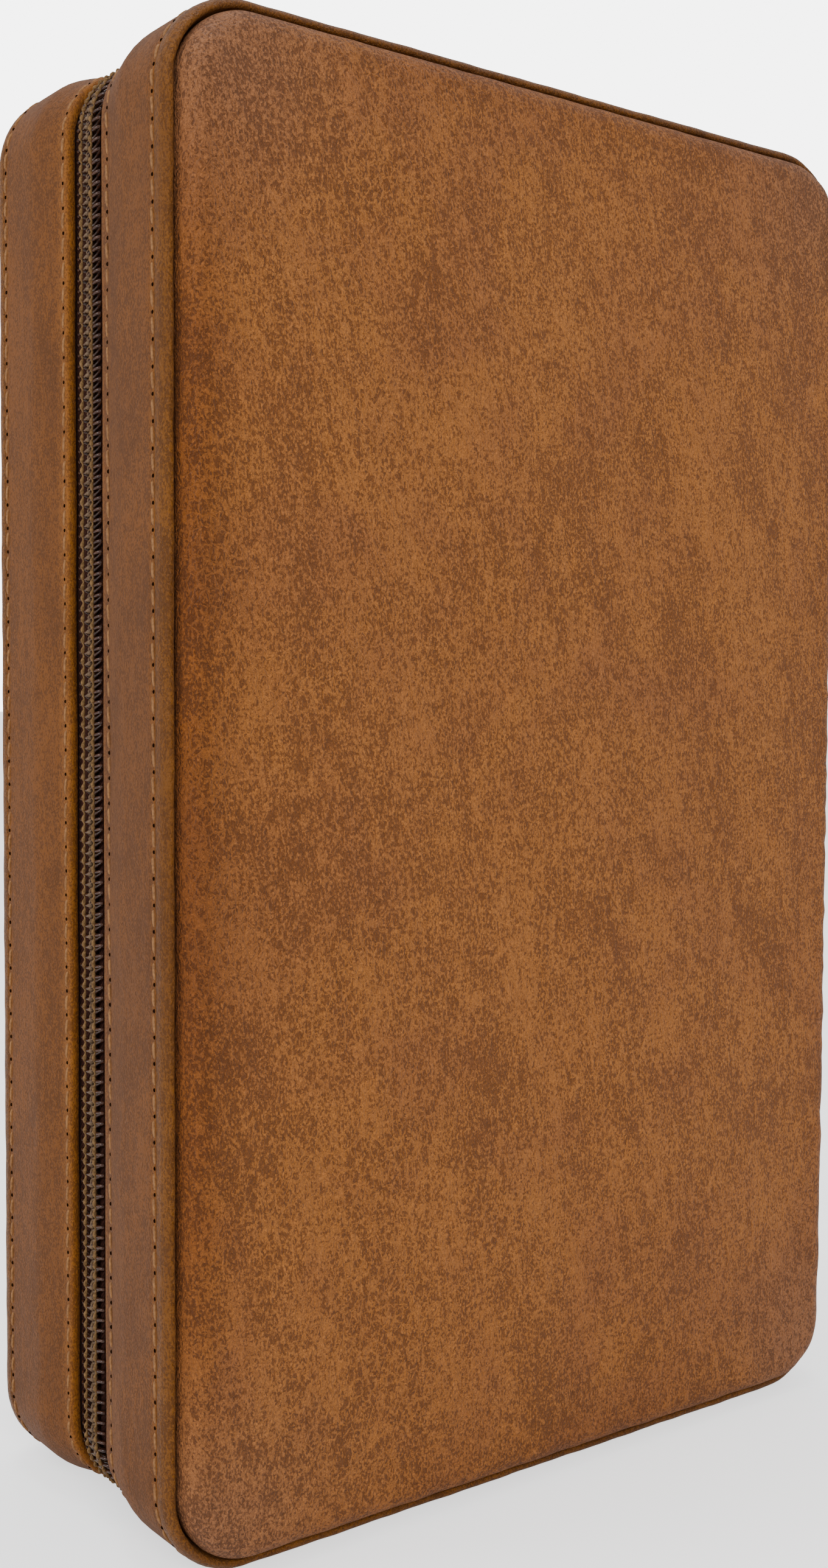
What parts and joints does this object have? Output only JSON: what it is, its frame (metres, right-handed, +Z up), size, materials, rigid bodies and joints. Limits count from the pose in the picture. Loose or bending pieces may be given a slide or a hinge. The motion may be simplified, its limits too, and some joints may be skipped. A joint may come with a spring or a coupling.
{
  "type": "bible in zipped case",
  "caption": "Bible inside a padded brown leather case that zips round three sides, with piping, stitched side bands and a folding spine.",
  "frame": {"origin": "under the middle of the case's bottom, on the surface that it stands on", "axes": "+Z up along the height, +X towards the spine, -Y out of the front cover"},
  "size_m": [0.1328, 0.0628, 0.2151],
  "materials": {
    "panel_leather": "mottled orange-brown grained leather, satin",
    "band_leather": "smoother greyer brown leather, matt",
    "piping_leather": "orange-brown leather bead, satin",
    "board": "grey-brown bookbinding board",
    "foam": "pale padding foam",
    "lining": "dark brown woven lining",
    "zip_tape": "dark maroon woven tape",
    "zip_coil": "dark brown nylon coil",
    "zip_metal": "antique brass",
    "bible_leather": "black fine-grained leather",
    "endpaper": "dark brown endpaper",
    "paper": "thin cream bible paper",
    "ribbon": "dark red satin ribbon",
    "band_thread": "red and cream head-band thread"
  },
  "bodies": {
    "back_shell": {"back_cover_leather": "panel_leather", "back_foam_pad": "foam", "back_board": "board", "back_lining": "lining", "back_sleeve": "band_leather", "back_piping": "piping_leather", "back_piping_cord": "foam", "back_gusset_leather": "band_leather", "back_gusset_board": "board", "back_gusset_lining": "lining", "back_zip_tape": "zip_tape", "back_zip_coil": "zip_coil", "back_zip_stop_top": "zip_metal", "back_zip_stop_bottom": "zip_metal", "back_endpaper": "endpaper", "back_crease": "panel_leather", "bible_back_cover": "bible_leather", "page_block": "paper", "head_band": "band_thread", "tail_band": "band_thread", "ribbon_marker": "ribbon"},
    "spine": {"spine_leather": "panel_leather", "spine_board": "board", "spine_lining": "lining", "bible_spine": "bible_leather", "front_crease": "panel_leather"},
    "front_shell": {"front_cover_leather": "panel_leather", "front_foam_pad": "foam", "front_board": "board", "front_lining": "lining", "front_sleeve": "band_leather", "front_piping": "piping_leather", "front_piping_cord": "foam", "front_gusset_leather": "band_leather", "front_gusset_board": "board", "front_gusset_lining": "lining", "front_zip_tape": "zip_tape", "front_zip_coil": "zip_coil", "front_zip_stop_top": "zip_metal", "front_zip_stop_bottom": "zip_metal", "front_endpaper": "endpaper", "bible_front_cover": "bible_leather"},
    "first_pages_1": {"page_bundle_1": "paper"},
    "first_pages_2": {"page_bundle_2": "paper"},
    "first_pages_3": {"page_bundle_3": "paper"},
    "zip_slider": {"zip_slider": "zip_metal"},
    "zip_pull": {"zip_pull_tab": "zip_metal"}
  },
  "joints": [
    {"name": "spine_hinge", "type": "hinge", "parent": "back_shell", "child": "spine", "pos_m": [0.067, 0.024, 0], "axis": [0, 0, 1], "range_deg": [0, 90], "deforming": ["back_crease"]},
    {"name": "front_cover_hinge", "type": "hinge", "parent": "spine", "child": "front_shell", "pos_m": [0.067, -0.024, 0], "axis": [0, 0, 1], "range_deg": [0, 175], "deforming": ["front_crease"]},
    {"name": "page_turn_1", "type": "hinge", "parent": "back_shell", "child": "first_pages_1", "pos_m": [0.057, -0.0134, 0], "axis": [0, 0, 1], "range_deg": [0, 88]},
    {"name": "page_turn_2", "type": "hinge", "parent": "back_shell", "child": "first_pages_2", "pos_m": [0.057, -0.0134, 0], "axis": [0, 0, 1], "range_deg": [0, 58]},
    {"name": "page_turn_3", "type": "hinge", "parent": "back_shell", "child": "first_pages_3", "pos_m": [0.057, -0.0134, 0], "axis": [0, 0, 1], "range_deg": [0, 29]},
    {"name": "zip_slide", "type": "slide", "parent": "back_shell", "child": "zip_slider", "axis": [-1, 0, 0], "range_m": [0, 0.08]},
    {"name": "pull_tab_hinge", "type": "hinge", "parent": "zip_slider", "child": "zip_pull", "pos_m": [0.046, 0, 0.21365], "axis": [0, 1, 0], "range_deg": [0, 150]}
  ],
  "couplings": [
    {"joint": "page_turn_1", "follows": "front_cover_hinge", "ratio": 0.5},
    {"joint": "page_turn_2", "follows": "front_cover_hinge", "ratio": 0.33},
    {"joint": "page_turn_3", "follows": "front_cover_hinge", "ratio": 0.165}
  ]
}
